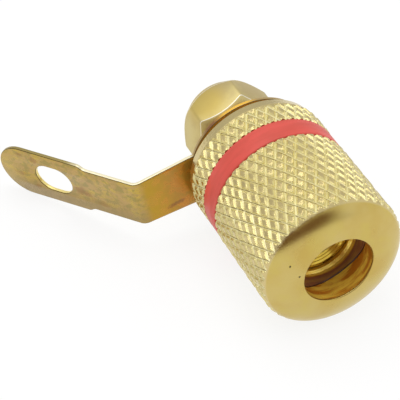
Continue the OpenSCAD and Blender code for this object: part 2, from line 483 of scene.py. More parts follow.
# Cap finish: depths over which the nose and the knurl take their looks, and heights on the knurl for its
# painted highlights and painted shade
NOSE_SATIN = (1.4, 0.9)
KNURLED = (0.95, 1.05)
SLOPE_HIGHLIGHT_HEIGHTS = (0.98, 0.80)
LINE_HIGHLIGHT_HEIGHTS = (0.48, 0.32)
ROOT_SHADE_HEIGHTS = (0.25, 0.05)
DULL_HEIGHTS = (0.98, 0.35)
DENT_HEIGHT = 4.0
HAZE_SHIFT = (0.07, 0, 0.03)
PIT_REACH = (0.05 * MM, 0.12 * MM)
PIT_RAGGED = 0.05 * MM
# Wall of the bore: radii at which it begins, stretch of its streaks, and lengths over which its painted
# reflection and its stain change
WALL_REACH = (3.5 * MM, 3.4 * MM)
WALL_STRETCH = (1, 8, 1)
AMBER_REFLECTION_SIDE = (0.5 * MM, 2.5 * MM)
STAIN_FADE = 0.1
DEEP_FADE = 0.3
RIDGE_FADE = 0.1
# Shares of metal where the finish isn't all metal
WALL_METAL = 0.2
RIDGE_METAL = 0.7
KNURL_METAL = 0.25


def cap_plate(finish, place, knurled, relief, blotch, fleck):
    """Colour outside: hazy gold with two pits on the nose, and a knurl with painted highlights on its slopes
    and along one family of grooves, and painted shade in its roots.
    """
    plate = finish.mix(finish.ramp(blotch, BLOTCHES), GOLD, GOLD_WARM)
    haze = finish.noise(finish.vector("ADD", place, HAZE_SHIFT), CAP_HAZE, detail=4.0, rough=0.6)
    plate = finish.mix(finish.ramp(haze, (0.46, 0.60), to=(0.0, 0.4)), plate, GOLD_LIME)
    plate = finish.mix(knurled, plate, KNURL_TAN)
    # Painted highlight: pale cream on the knurl's slopes, flecked.
    slope = finish.times(finish.ramp(relief, SLOPE_HIGHLIGHT_HEIGHTS), finish.ramp(fleck, FLECKS, to=(0.5, 1.0)))
    plate = finish.mix(slope, plate, KNURL_SLOPE_HIGHLIGHT)
    # Painted highlight: a bright line along one family of grooves.
    painted_highlight = finish.times(finish.ramp(relief, LINE_HIGHLIGHT_HEIGHTS), finish.ramp(blotch, FLECKS, to=(1.0, 0.6)))
    plate = finish.mix(painted_highlight, plate, KNURL_LINE_HIGHLIGHT)
    # Painted shade: dark colour in the grooves' roots, broken up by flecks.
    broken = finish.ramp(fleck, (0.38, 0.58), to=(0.35, 1.0))
    plate = finish.mix(finish.times(finish.ramp(relief, ROOT_SHADE_HEIGHTS), broken), plate, KNURL_ROOT_SHADE)
    ragged = finish.ramp(fleck, WIDE, to=(-PIT_RAGGED, PIT_RAGGED))
    for radius, angle in PITS:
        pit = spot(radius, angle, dome_depth(radius))
        away = finish.plus(finish.vector("DISTANCE", place, pit), ragged)
        plate = finish.mix(finish.ramp(away, PIT_REACH), PIT_BROWN, plate)
    return plate


def bore_wall(finish, place, depth):
    """Colour inside: amber and gold streaks painted as light reflected round the bore, more amber on the +X
    side, a dark scored line, a brown stain, then brighter painted reflection deeper in.
    """
    streak = finish.noise(finish.vector("MULTIPLY", place, WALL_STRETCH), BORE_STREAK)
    low_side = Vector((math.cos(SCORE_LOW), 0, math.sin(SCORE_LOW))) * SCORE_SWING / (BORE_R * MM)
    swing = finish.vector("DOT_PRODUCT", place, low_side)
    askew = finish.minus(depth, finish.math("MAXIMUM", swing, SCORE_LEAST - SCORE_AT))
    off_score = finish.math("ABSOLUTE", finish.minus(askew, SCORE_AT))

    # Painted reflection: amber and gold, more amber toward +X and brighter deeper in, stand in for light the
    # gold bore throws onto itself.
    right_side = finish.ramp(finish.parts(place)["X"], AMBER_REFLECTION_SIDE, to=(-0.03, 0.06))
    wall = finish.mix(finish.ramp(finish.plus(streak, right_side), (0.42, 0.58)), BORE_GOLD_REFLECTION, BORE_AMBER_REFLECTION)
    deep_wall = finish.mix(finish.ramp(streak, (0.50, 0.66)), BORE_BRIGHT_REFLECTION, BORE_GOLD_REFLECTION)
    wall = finish.mix(finish.ramp(depth, (STAIN_TO, STAIN_TO + DEEP_FADE)), wall, deep_wall)
    past_score = finish.ramp(askew, (SCORE_AT - SCORE_SOFT, SCORE_AT + SCORE_SOFT))
    stained = finish.times(past_score, finish.ramp(depth, (STAIN_TO + STAIN_FADE, STAIN_TO - STAIN_FADE)))
    wall = finish.mix(finish.times(stained, finish.ramp(streak, WIDE, to=(0.8, 1.0))), wall, BORE_STAIN)
    return finish.mix(finish.ramp(off_score, (0.8 * SCORE_W, 0.4 * SCORE_W)), wall, BORE_SCORE)


def cap_finish():
    """Satin gold plate outside, dented on the knurl, with painted highlights and shade on the knurl and
    painted reflection on the walls in the bore.
    """
    finish = Finish("cap_gold", 1.0)
    place = finish.place()
    depth = finish.depth(place)
    relief = finish.attribute("relief")["Fac"]
    blotch = finish.noise(place, CAP_BLOTCH, detail=4.0)
    fleck = finish.noise(place, CAP_FLECK)
    grain = finish.noise(place, CAP_GRAIN, detail=2.0)
    knurled = finish.ramp(depth, KNURLED)
    inside = finish.times(
        finish.ramp(finish.vector("LENGTH", finish.ray(place)), WALL_REACH),
        finish.ramp(depth, (RIM_ROUND, 2 * RIM_ROUND)),
    )
    plate = cap_plate(finish, place, knurled, relief, blotch, fleck)
    finish.set("Base Color", finish.mix(inside, plate, bore_wall(finish, place, depth)))

    ridged = finish.ramp(depth, (RIDGE_FROM - RIDGE_FADE, RIDGE_FROM), to=(0.0, RIDGE_METAL))
    metal = finish.math("MAXIMUM", finish.ramp(inside, (0, 1), to=(1.0, WALL_METAL)), ridged)
    finish.set("Metallic", finish.times(metal, finish.ramp(relief, DULL_HEIGHTS, to=(1.0, KNURL_METAL))))
    satin = finish.ramp(finish.ramp(depth, NOSE_SATIN), (0, 1), to=(0.21, 0.24))
    finish.set("Roughness", finish.plus(satin, finish.ramp(blotch, WIDE, to=(-0.03, 0.05))))
    dents = finish.times(finish.ramp(fleck, (0.35, 0.65)), finish.times(knurled, DENT_HEIGHT))
    finish.set("Normal", finish.bump(finish.plus(grain, dents), strength=0.15, distance=0.02 * MM))
    return finish.material


def ring_finish():
    """Satin red plastic, a little deeper in soft streaks."""
    finish = Finish("ring_red", 0.0)
    place = finish.place()
    streak = finish.noise(finish.vector("MULTIPLY", place, (1, 4, 1)), RING_STREAK)
    grain = finish.noise(place, RING_GRAIN, detail=2.0)
    finish.set("Base Color", finish.mix(finish.ramp(streak, WIDE), RED, RED_DEEP))
    finish.set("Roughness", finish.ramp(streak, WIDE, to=(0.42, 0.52)))
    finish.set("Normal", finish.bump(grain, strength=0.10, distance=0.01 * MM))
    return finish.material


# Post finish: depths over which the painted yellow reflection on its end fades, and the dark mark there
POST_FRONT = (POST_END + 3, POST_END + 2)
POST_METAL = 0.7
POST_MARK_R = 2.69
POST_MARK_ANGLE = math.radians(-66)
POST_MARK_HALF = math.radians(10)
POST_MARK_REACH = (0.16 * MM, 0.08 * MM)


def post_finish():
    """Gold plate: bright yellow painted on the end inside the mouth as reflected light, with painted shade in
    the thread roots and a dark mark.
    """
    finish = Finish("post_gold", 1.0)
    place = finish.place()
    blotch = finish.noise(place, PLATE_BLOTCH, detail=4.0)
    grain = finish.noise(place, PLATE_GRAIN, detail=2.0)
    relief = finish.attribute("relief")["Fac"]
    front = finish.ramp(finish.depth(place), POST_FRONT)
    plate = finish.mix(finish.ramp(blotch, BLOTCHES), GOLD, GOLD_WARM)
    # Painted reflection: bright yellow on the end inside the mouth.
    plate = finish.mix(front, plate, POST_REFLECTION_YELLOW)
    ray = finish.ray(place)
    mark_way = (math.cos(POST_MARK_ANGLE), 0, math.sin(POST_MARK_ANGLE))
    mark_ends = (math.cos(1.15 * POST_MARK_HALF), math.cos(0.85 * POST_MARK_HALF))
    turned = finish.vector("DOT_PRODUCT", finish.vector("NORMALIZE", ray), mark_way)
    off = finish.math("ABSOLUTE", finish.minus(finish.vector("LENGTH", ray), POST_MARK_R * MM))
    mark = finish.times(finish.ramp(turned, mark_ends), finish.ramp(off, POST_MARK_REACH))
    plate = finish.mix(finish.times(mark, front), plate, POST_MARK)
    # Painted shade: dark colour where the relief is low, in the thread roots, the lead's grooves and the line
    # on the end's chamfer.
    finish.set("Base Color", finish.mix(finish.ramp(relief, (0.0, 0.5)), POST_ROOT_SHADE, plate))
    finish.set("Metallic", finish.ramp(front, (0, 1), to=(1.0, POST_METAL)))
    finish.set("Roughness", finish.ramp(blotch, WIDE, to=(0.14, 0.22)))
    finish.set("Normal", finish.bump(grain, strength=0.08, distance=0.015 * MM))
    return finish.material


# Nut finish: a warm stain in the middle of one flat
NUT_STAIN_ANGLE = math.radians(127)
NUT_STAIN_REACH = (2.6 * MM, 0.8 * MM)
NUT_STAIN_SHARE = 0.7


def nut_finish():
    """Satin gold plate with blotches, fine grain and a warm stain, with a pale highlight painted along the
    chamfers' edges.
    """
    finish = Finish("nut_gold", 1.0)
    place = finish.place()
    blotch = finish.noise(place, PLATE_BLOTCH, detail=4.0)
    grain = finish.noise(place, PLATE_GRAIN, detail=2.0)
    relief = finish.attribute("relief")["Fac"]
    plate = finish.mix(finish.ramp(blotch, (0.40, 0.62)), GOLD_PALE, NUT_ROSE)
    stain = spot(NUT_AF / 2, NUT_STAIN_ANGLE, (NUT_FRONT + NUT_REAR) / 2)
    away = finish.vector("DISTANCE", place, stain)
    plate = finish.mix(finish.ramp(away, NUT_STAIN_REACH, to=(0.0, NUT_STAIN_SHARE)), plate, NUT_WARM)
    # Painted highlight: a near-white line along the chamfers' edges.
    finish.set("Base Color", finish.mix(finish.ramp(relief, (0.1, 0.7)), NUT_EDGE_HIGHLIGHT, plate))
    finish.set("Roughness", finish.ramp(blotch, WIDE, to=(0.48, 0.56)))
    finish.set("Normal", finish.bump(grain, strength=0.08, distance=0.015 * MM))
    return finish.material


# Lug finish: spans along the flat sheet from the stud's axis, and across it from its middle line
TIP_PALE = (22.0, 24.5)
# Painted reflection of the gold cap on the arm: amber that turns orange toward the cap, with less metal there
# so the painted colour shows.
ARM_TO_LEG = (BEND_X + 0.4, BEND_X - 0.5)
ARM_REFLECTION_ORANGES = (9.8, 6.2)
ARM_DULLS = (9.5, 6.5)
ARM_METAL = 0.25
LOW_EDGE_BROWN = (-0.2, 2.2)
LEG_RIM_DULL = (15.2, 17.5)
TOP_EDGE = (-1.5, -1.9)
EYE_RIM = (1.7, 1.5)
RING_RIM = (5.2, 4.8)
# Painted reflection and shade on the ring's rim: gold, then rust-brown, then khaki along the sheet.
RING_RIM_PAINTED_LIGHT = (((-1.8, -0.6), LUG_RIM_REFLECTION), ((1.2, 2.6), LUG_RUST), ((3.0, 3.8), LUG_KHAKI))
RIM_METAL = 0.5

# Stains on the lug: place along and across the flat sheet, half length, half width and strength
LUG_STAINS = (
    (5.8, -2.0, 0.8, 0.7, 0.15),
    (7.5, 1.6, 0.9, 0.25, 0.65),
    (16.2, 0.4, 0.9, 0.45, 0.5),
    (20.9, -1.8, 0.5, 0.35, 0.45),
    (22.3, -2.1, 0.5, 0.25, 0.4),
    (21.3, 1.5, 0.5, 0.35, 0.4),
    (22.6, 0.3, 0.8, 0.25, 0.3),
    (14.5, 1.2, 0.9, 0.35, 0.3),
)


def lug_finish():
    """Thin gold plate on sheet brass: khaki with soft stains on the leg, amber turning orange toward the cap
    on the arm as painted reflection, pale cut edges with a painted highlight and a painted shade line, and
    painted reflection and shade on the ring's rim.
    """
    finish = Finish("lug_gold", 1.0)
    flat = finish.attribute("flat")["Vector"]
    parts = finish.parts(flat)
    along, across, through = parts["X"], parts["Y"], parts["Z"]
    sheet = finish.vector("MULTIPLY", flat, (1, 1, 0))
    cloud = finish.noise(sheet, 0.7, detail=5.0, rough=0.65)
    fleck = finish.noise(finish.vector("ADD", sheet, (31, 7, 0)), 1.5, detail=4.0, rough=0.6)
    streak = finish.noise(finish.vector("MULTIPLY", flat, (0.7, 2.4, 0)), 1.0, detail=5.0, rough=0.65)
    brush = finish.noise(finish.vector("MULTIPLY", flat, (0.6, 9, 0)), 1.0)
    grain = finish.noise(sheet, 14, detail=2.0)
    ragged = finish.ramp(fleck, WIDE, to=(-0.4, 0.4))

    def smudge(x, y, half_length, half_width):
        """Share of a soft stain with a ragged rim, at a place on the flat sheet."""
        off = finish.vector("SUBTRACT", sheet, (x, y, 0))
        off = finish.vector("MULTIPLY", off, (1 / half_length, 1 / half_width, 0))
        return finish.ramp(finish.plus(finish.vector("LENGTH", off), ragged), (1.15, 0.45))

    plate = finish.mix(finish.ramp(cloud, (0.40, 0.60)), LUG_YELLOW, LUG_KHAKI)
    plate = finish.mix(finish.ramp(streak, (0.46, 0.56), to=(0.0, 0.9)), plate, LUG_PINK)
    plate = finish.mix(finish.ramp(fleck, (0.48, 0.60), to=(0.0, 0.85)), plate, LUG_OLIVE)
    plate = finish.mix(finish.ramp(across, LOW_EDGE_BROWN, to=(0.0, 0.75)), plate, LUG_BROWN)
    plate = finish.mix(finish.ramp(along, TIP_PALE, to=(0.0, 0.45)), plate, LUG_YELLOW)
    # Painted reflection on the arm, amber turning orange toward the cap, with moss clouds of tone.
    arm_reflection_and_tone = finish.mix(finish.ramp(along, ARM_REFLECTION_ORANGES), LUG_ARM_REFLECTION_AMBER, LUG_ARM_REFLECTION_ORANGE)
    arm_reflection_and_tone = finish.mix(finish.ramp(cloud, (0.44, 0.56), to=(0.0, 0.55)), arm_reflection_and_tone, LUG_MOSS)
    plate = finish.mix(finish.ramp(along, ARM_TO_LEG), plate, arm_reflection_and_tone)
    for x, y, half_length, half_width, strength in LUG_STAINS:
        stain = finish.times(smudge(x, y, half_length, half_width), strength)
        plate = finish.mix(stain, plate, LUG_RUST)

    dull = finish.times(finish.ramp(along, LEG_RIM_DULL), finish.ramp(across, TOP_EDGE))
    # The cut edges are pale brass, lightened to cream as a painted highlight; olive on part of the leg's top
    # edge and honey round the eye.
    rim = finish.mix(dull, LUG_EDGE_PALE_AND_HIGHLIGHT, LUG_OLIVE)
    rim = finish.mix(finish.ramp(finish.math("ABSOLUTE", across), EYE_RIM), rim, LUG_HONEY)
    # Painted reflection and shade along the ring's rim.
    ring_rim_painted_light = LUG_KHAKI
    for span, tint in RING_RIM_PAINTED_LIGHT:
        ring_rim_painted_light = finish.mix(finish.ramp(along, span), ring_rim_painted_light, tint)
    rim = finish.mix(finish.ramp(along, RING_RIM), rim, ring_rim_painted_light)
    # Painted shade: a dark line where the face meets its softened edge.
    edge_shade = finish.ramp(through, (0.0, 0.4 * LUG_EDGE))
    cut = finish.ramp(through, (0.7 * LUG_EDGE, LUG_EDGE))
    plate = finish.mix(edge_shade, plate, LUG_EDGE_SHADE)
    finish.set("Base Color", finish.mix(cut, plate, rim))
    arm_metal = finish.ramp(along, ARM_DULLS, to=(1.0, ARM_METAL))
    finish.set("Metallic", finish.times(arm_metal, finish.ramp(cut, (0, 1), to=(1.0, RIM_METAL))))
    finish.set("Roughness", finish.ramp(cloud, WIDE, to=(0.24, 0.34)))
    height = finish.plus(finish.times(brush, 0.6), grain)
    finish.set("Normal", finish.bump(height, strength=0.10, distance=0.02 * MM))
    return finish.material


# Cap

def dome_depth(radius):
    """Depth of the nose's dome at a radius."""
    share = min(1, max(0, (radius - LIP_R) / (CAP_R - LIP_R)))
    return NOSE_DEPTH * (1 - (1 - share ** NOSE_FULLNESS) ** (1 / NOSE_FULLNESS))


def dome_radius(depth):
    """Radius of the nose's dome at a depth."""
    share = min(1, max(0, depth / NOSE_DEPTH))
    return LIP_R + (CAP_R - LIP_R) * (1 - (1 - share) ** NOSE_FULLNESS) ** (1 / NOSE_FULLNESS)


def lip_radius(depth):
    """Limit on the cap's radius, a little lower beside the groove that holds the ring."""
    off = max(GROOVE_FROM - depth, depth - GROOVE_TO)
    return CAP_R - LIP_DROP * max(0, 1 - off / GROOVE_LIP)


NOSE_R = CAP_R - KNURL_FRONT * KNURL_DEPTH
KNURL_FROM = dome_depth(NOSE_R)


def knurl_place(column, depth):
    """Place across the knurl's two families of grooves. A diamond's middle is at whole numbers."""
    u = column / KNURL_SPLIT
    v = (depth - KNURL_FROM) / KNURL_ROW
    return (u + v) / 2, (u - v) / 2


def knurl_row(depth, sway, limit):
    """One ring of the knurl, with uneven diamonds and held to a limit on its radius, and its heights.

    One family of grooves carries a painted highlight, so its heights stay above the painted shade in the
    roots of the other.
    """
    ring = []
    heights = []
    for i in range(KNURL_COLUMNS):
        angle = 2 * math.pi * i / KNURL_COLUMNS
        a, b = knurl_place(i, depth)
        off_a, off_b = a - round(a), b - round(b)
        height = min(1, (1 - 2 * max(abs(off_a), abs(off_b))) / KNURL_CREST)
        lean = noise.cell_vector((round(a) % KNURL_STARTS + 0.5, round(b) % KNURL_STARTS + 0.5, 0.5))
        tip = KNURL_LEAN * (off_a * (lean.x - 0.5) + off_b * (lean.y - 0.5)) - KNURL_WEAR * lean.z
        here = spot(CAP_R, angle, depth) / MM * SWAY_GRAIN
        around = sway * noise.noise(here) / CAP_R
        shifted = depth + sway * noise.noise(here + SWAY_APART)
        radius = CAP_R - KNURL_DEPTH * (1 - min(1, height * (1 + tip)))
        top = limit(shifted)
        ring.append(spot(min(top, radius), angle + around, shifted))
        # One family of grooves keeps a least height, which carries the painted highlight and keeps off the
        # painted shade of the roots.
        painted_highlight = abs(off_a) > abs(off_b)
        shade = max(height, KNURL_HIGHLIT_LEAST) if painted_highlight else height
        heights.append(1.0 if radius > top else shade)
    return ring, heights


def score_depth(angle):
    """Depth of the line scored askew round the bore."""
    return max(SCORE_LEAST, SCORE_AT + SCORE_SWING * math.cos(angle - SCORE_LOW))


def cap():
    """Screw cap, in rings from the mouth over the outside to the recess and back through the bore."""
    rings = []
    relief = []

    def plain(radius, depth):
        rings.append(lathe_ring(KNURL_COLUMNS, 0, radius, depth))
        relief.append([1.0] * KNURL_COLUMNS)

    def knurl(start, end, limit):
        first = math.ceil((start - KNURL_FROM) / KNURL_ROW * KNURL_SPLIT + ROW_WITHIN)
        last = math.floor((end - KNURL_FROM) / KNURL_ROW * KNURL_SPLIT - ROW_WITHIN)
        inner = [KNURL_FROM + k * KNURL_ROW / KNURL_SPLIT for k in range(first, last + 1)]
        for depth in [start] + inner + [end]:
            calm = min(1, (depth - start) / KNURL_ROW, (end - depth) / KNURL_ROW)
            ring, heights = knurl_row(depth, KNURL_SWAY * calm, limit)
            rings.append(ring)
            relief.append(heights)

    for turn in steps(0, math.pi / 2, EDGE_STEPS):
        plain(BORE_R + RIM_ROUND * (1 - math.cos(turn)), RIM_ROUND * (1 - math.sin(turn)))
    for share in steps(0, 1, NOSE_ROWS):
        radius = LIP_R + (NOSE_R - LIP_R) * math.sin(share * math.pi / 2)
        plain(radius, dome_depth(radius))
    knurl(KNURL_FROM + EDGE / 2, GROOVE_FROM, lambda depth: min(dome_radius(depth), lip_radius(depth)))
    plain(GROOVE_R, GROOVE_FROM)
    plain(GROOVE_R, GROOVE_TO)
    knurl(GROOVE_TO, BAND_AT, lip_radius)
    plain(CAP_R - REAR_DROP - EDGE, BAND_AT + EDGE / 2)
    plain(CAP_R - REAR_DROP, BAND_AT + 2 * EDGE)
    plain(CAP_R - REAR_DROP - REAR_TAPER, CAP_LEN - EDGE)
    plain(CAP_R - REAR_DROP - REAR_TAPER - EDGE, CAP_LEN)
    plain(RECESS_R + EDGE, CAP_LEN)
    plain(RECESS_R, CAP_LEN - EDGE)
    plain(RECESS_R, RECESS_AT)
    plain(BORE_R + THREAD_DEPTH + EDGE, RECESS_AT)

    rows = round((RECESS_AT - BORE_THREAD_FROM) / CAP_PITCH * THREAD_ROWS)
    for depth in reversed(steps(BORE_THREAD_FROM, RECESS_AT - EDGE, rows)):
        height = THREAD_DEPTH * min(1, (depth - BORE_THREAD_FROM) / CAP_PITCH)
        plain(thread_radius(BORE_R + height, depth, CAP_PITCH, height), depth)
    ridges = round((BORE_THREAD_FROM - RIDGE_FROM) / RIDGE_PITCH)
    for depth in reversed(steps(RIDGE_FROM, BORE_THREAD_FROM - RIDGE_PITCH / 2, 2 * ridges - 1)):
        rise = RIDGE_DEPTH * (round((depth - RIDGE_FROM) / RIDGE_PITCH * 2) % 2)
        plain(BORE_R + rise, depth)
    plain(BORE_R, lambda angle: score_depth(angle) + SCORE_W / 2)
    plain(BORE_R + SCORE_DEPTH, score_depth)
    plain(BORE_R, lambda angle: score_depth(angle) - SCORE_W / 2)
    plain(BORE_R, 2 * RIM_ROUND)
    bm = grid_solid(rings, True, relief)
    return make_object("knurled_cap_body", bm, cap_finish(), "cap", "knurled_cap", sharp=24)


# Ring

def color_ring():
    """Plain band with softly rounded edges."""
    inner = GROOVE_R + RING_CLEARANCE
    rings = [lathe_ring(RING_COLUMNS, 0, inner, RING_REAR), lathe_ring(RING_COLUMNS, 0, inner, RING_FRONT)]
    turns = steps(0, math.pi / 2, EDGE_STEPS)
    for depth, way in ((RING_FRONT, 1), (RING_REAR, -1)):
        for turn in turns[::way]:
            r = RING_R - RING_EDGE * (1 - math.sin(turn))
            d = depth + way * RING_EDGE * (1 - math.cos(turn))
            rings.append(lathe_ring(RING_COLUMNS, 0, r, d))
    bm = grid_solid(rings, True)
    return make_object("color_ring_band", bm, ring_finish(), "ring", "color_ring")


# Post

def post():
    """Turned post with its socket, thread, flange and threaded stud, and the wire hole drilled across it."""
    rings = []
    relief = []

    def plain(radius, depth, height=1.0):
        rings.append(lathe_ring(POST_COLUMNS, 0, radius, depth))
        relief.append([height] * POST_COLUMNS)

    def thread(crest, pitch, start, end, height):
        rows = round((end - start) / pitch * THREAD_ROWS)
        for depth in steps(start, end, rows):
            fade = min(1, (depth - start) / pitch, (end - depth) / pitch)
            radius = thread_radius(crest, depth, pitch, height * fade)
            ring = lathe_ring(POST_COLUMNS, 0, radius, depth)
            rings.append(ring)
            relief.append([1 - (crest - math.hypot(p.x, p.z) / MM) / height for p in ring])

    socket_end = POST_END + SOCKET_LEN
    flange_at = SEAT - FLANGE_T
    plain(HUB_R, socket_end + (SOCKET_R - HUB_R) / math.tan(DRILL_HALF))
    plain(SOCKET_R, socket_end)
    ridge = SOCKET_LEAD / LEAD_RIDGES
    for k in range(LEAD_RIDGES):
        near = SOCKET_R + k * ridge
        deep = POST_END + SOCKET_LEAD - k * ridge
        plain(near, deep)
        plain(near + LEAD_CONE * ridge, deep - LEAD_CONE * ridge)
        plain(near + LEAD_GROOVE_OUT * ridge, deep - LEAD_GROOVE_UP * ridge, 0.0)
    plain(SOCKET_R + SOCKET_LEAD, POST_END)
    plain(POST_R - POST_EDGE, POST_END)
    plain(POST_R - POST_LINE * POST_EDGE, POST_END + POST_LINE * POST_EDGE, 0.0)
    plain(POST_R, POST_END + POST_EDGE)
    thread(POST_R, CAP_PITCH, POST_END + POST_EDGE + THREAD_GAP, flange_at - POST_RELIEF, THREAD_DEPTH)
    plain(POST_R, flange_at)
    plain(FLANGE_R - EDGE, flange_at)
    plain(FLANGE_R, flange_at + EDGE)
    plain(FLANGE_R, SEAT - EDGE)
    plain(FLANGE_R - EDGE, SEAT)
    plain(STUD_R, SEAT)
    thread(STUD_R, STUD_PITCH, SEAT + STUD_RELIEF, STUD_TIP - STUD_EDGE - THREAD_GAP, STUD_THREAD_DEPTH)
    plain(STUD_R, STUD_TIP - STUD_EDGE)
    plain(STUD_R - STUD_EDGE, STUD_TIP)
    plain(HUB_R, STUD_TIP)
    bm = grid_solid(rings, False, relief)
    obj = make_object("post_turned", bm, post_finish(), "post", "post")
    drill_across(obj, WIRE_AT, WIRE_R)
    return obj


def drill_across(obj, depth, radius):
    """Cuts a round hole along Z through a piece on the axis, and clears away collapsed faces."""
    bm = bmesh.new()
    bmesh.ops.create_cone(
        bm,
        cap_ends=True,
        segments=WIRE_SIDES,
        radius1=radius * MM,
        radius2=radius * MM,
        depth=4 * POST_R * MM,
        matrix=Matrix.Translation((0, mouth_y + depth * MM, 0)),
    )
    mesh = bpy.data.meshes.new("drill")
    bm.to_mesh(mesh)
    bm.free()
    drill = bpy.data.objects.new("drill", mesh)
    bpy.context.scene.collection.objects.link(drill)
    cut = obj.modifiers.new("wire_hole", "BOOLEAN")
    cut.operation = "DIFFERENCE"
    cut.solver = "EXACT"
    cut.object = drill
    graph = bpy.context.evaluated_depsgraph_get()
    drilled = bpy.data.meshes.new_from_object(obj.evaluated_get(graph))
    obj.modifiers.remove(cut)
    bpy.data.objects.remove(drill)
    bm = bmesh.new()
    bm.from_mesh(drilled)
    bmesh.ops.dissolve_degenerate(bm, dist=DRILL_WELD * MM, edges=bm.edges)
    bm.to_mesh(drilled)
    bm.free()
    obj.data = drilled


# Nut

def hex_nut():
    """Hexagon nut with turned chamfers, a lead into its thread, and softened edges."""
    corner_r = NUT_AF / 2 / math.cos(math.radians(30)) - NUT_CORNER_ROUND
    sixth = math.pi / 3

    def side(angle):
        off = (angle - NUT_CORNER) % sixth - sixth / 2
        return min(corner_r, NUT_AF / 2 / math.cos(off))

    def end(face, way, face_r, slope):
        """Rings from the bore over one face and its chamfer to the flats."""
        def cone(inset, past):
            return lambda angle: face + way * ((side(angle) - inset - face_r) * slope + past)

        return [
            lathe_ring(NUT_COLUMNS, NUT_CORNER, radius, depth)
            for radius, depth in (
                (NUT_BORE_R, face + way * NUT_LEAD),
                (NUT_BORE_R + NUT_LEAD, face),
                (face_r - EDGE, face),
                (face_r + EDGE / 2, face + way * slope * EDGE / 2),
                (lambda angle: side(angle) - NUT_EDGE, cone(NUT_EDGE, 0)),
                (lambda angle: side(angle) - NUT_EDGE / 4, cone(0, NUT_EDGE / 3)),
                (side, cone(0, NUT_EDGE)),
            )
        ]

    # Height 0 marks the ring along each chamfer's edge that gets the painted highlight.
    highlight_heights = [1.0, 1.0, 1.0, 1.0, 1.0, 0.0, 1.0]
    rings = end(NUT_FRONT, 1, NUT_FRONT_R, NUT_FRONT_SLOPE)
    rings += reversed(end(NUT_REAR, -1, NUT_REAR_R, NUT_REAR_SLOPE))
    relief = [[height] * NUT_COLUMNS for height in highlight_heights + highlight_heights[::-1]]
    bm = grid_solid(rings, True, relief)
    return make_object("hex_nut_body", bm, nut_finish(), "post", "hex_nut", sharp=28)


# Lug

def leg_at(distance):
    """Place along the flat sheet of a point on the leg, from its distance to the bend's corner."""
    return BEND_X + BEND_RUN + distance - BEND_TANGENT


def arc_points(x, y, radius, start, end, count):
    return [(x + radius * math.cos(a), y + radius * math.sin(a)) for a in steps(start, end, count)]


def shoulder_points(way, out):
    """Soft step from the leg's width to the eye's, along one edge."""
    points = []
    for share in steps(0, 1, SHOULDER_STEPS):
        rise = (1 - math.cos(math.pi * share)) / 2
        x = leg_at(SHOULDER_AT - SHOULDER_LEN + SHOULDER_LEN * share)
        points.append((x, way * (LEG_W + (EYE_W - LEG_W) * rise) / 2))
    return points if out else points[::-1]


def lug_outlines():
    """Flat outline of the lug, the stud's hole and the eye."""
    half = math.pi / 2
    root = math.asin(ARM_W / 2 / LUG_RING_R)
    outline = arc_points(0, 0, LUG_RING_R, root, 2 * math.pi - root, LUG_RING_STEPS)
    outline += [(LUG_RING_R, -ARM_W / 2), (ARM_LEN - BEND_R, -LEG_W / 2)]
    outline += shoulder_points(-1, True)
    outline += arc_points(leg_at(LEG_LEN - EYE_W / 2), 0, EYE_W / 2, -half, half, TIP_STEPS)
    outline += shoulder_points(1, False)
    outline += [(ARM_LEN - BEND_R, LEG_W / 2), (LUG_RING_R, ARM_W / 2)]
    hole = arc_points(0, 0, LUG_HOLE_R, 0, 2 * math.pi, LUG_HOLE_STEPS)[:-1]
    spread = (EYE_L - EYE_HOLE_W) / 2
    eye = arc_points(leg_at(EYE_AT + spread), 0, EYE_HOLE_W / 2, -half, half, EYE_STEPS)
    eye += arc_points(leg_at(EYE_AT - spread), 0, EYE_HOLE_W / 2, half, 3 * half, EYE_STEPS)
    return [outline, hole, eye]


def flat_sheet():
    """The lug before it is bent, as a mesh in millimetres with its thickness along Z."""
    curve = bpy.data.curves.new("lug_sheet", "CURVE")
    curve.dimensions = "2D"
    curve.fill_mode = "BOTH"
    curve.extrude = LUG_T / 2 - LUG_EDGE
    curve.bevel_depth = LUG_EDGE
    curve.bevel_resolution = 1
    curve.offset = -LUG_EDGE
    for points in lug_outlines():
        spline = curve.splines.new("POLY")
        spline.points.add(len(points) - 1)
        for point, (x, y) in zip(spline.points, points):
            point.co = (x, y, 0, 1)
        spline.use_cyclic_u = True
    holder = bpy.data.objects.new("lug_sheet", curve)
    bpy.context.scene.collection.objects.link(holder)
    graph = bpy.context.evaluated_depsgraph_get()
    mesh = bpy.data.meshes.new_from_object(holder.evaluated_get(graph))
    bm = bmesh.new()
    bm.from_mesh(mesh)
    bpy.data.objects.remove(holder)
    bpy.data.meshes.remove(mesh)
    bmesh.ops.remove_doubles(bm, verts=bm.verts, dist=SHEET_WELD)
    for x in steps(BEND_X, BEND_X + BEND_RUN, BEND_STEPS):
        everything = bm.verts[:] + bm.edges[:] + bm.faces[:]
        bmesh.ops.bisect_plane(bm, geom=everything, plane_co=(x, 0, 0), plane_no=(1, 0, 0), dist=SHEET_CUT)
    return bm


def solder_lug():
    """Bent sheet. Each point keeps its place on the flat sheet for the finish."""
    bm = flat_sheet()
    layer = bm.verts.layers.float_vector.new("flat")
    out = Vector((-math.cos(LUG_DROP), 0, -math.sin(LUG_DROP)))
    side = Vector((math.sin(LUG_DROP), 0, -math.cos(LUG_DROP)))
    for vert in bm.verts:
        x, y, through = vert.co.x, vert.co.y, vert.co.z + LUG_T / 2
        vert[layer] = (x, y, through)
        turn = BEND * min(1, max(0, (x - BEND_X) / BEND_RUN))
        past = max(0, x - BEND_X - BEND_RUN)
        radius = OUTER_R - through
        reach = min(x, BEND_X) + radius * math.sin(turn) + past * math.cos(BEND)
        back = OUTER_R - radius * math.cos(turn) + past * math.sin(BEND)
        vert.co = (reach * out + y * side + Vector((0, back, 0))) * MM
    return make_object("solder_lug_sheet", bm, lug_finish(), "post", "solder_lug")


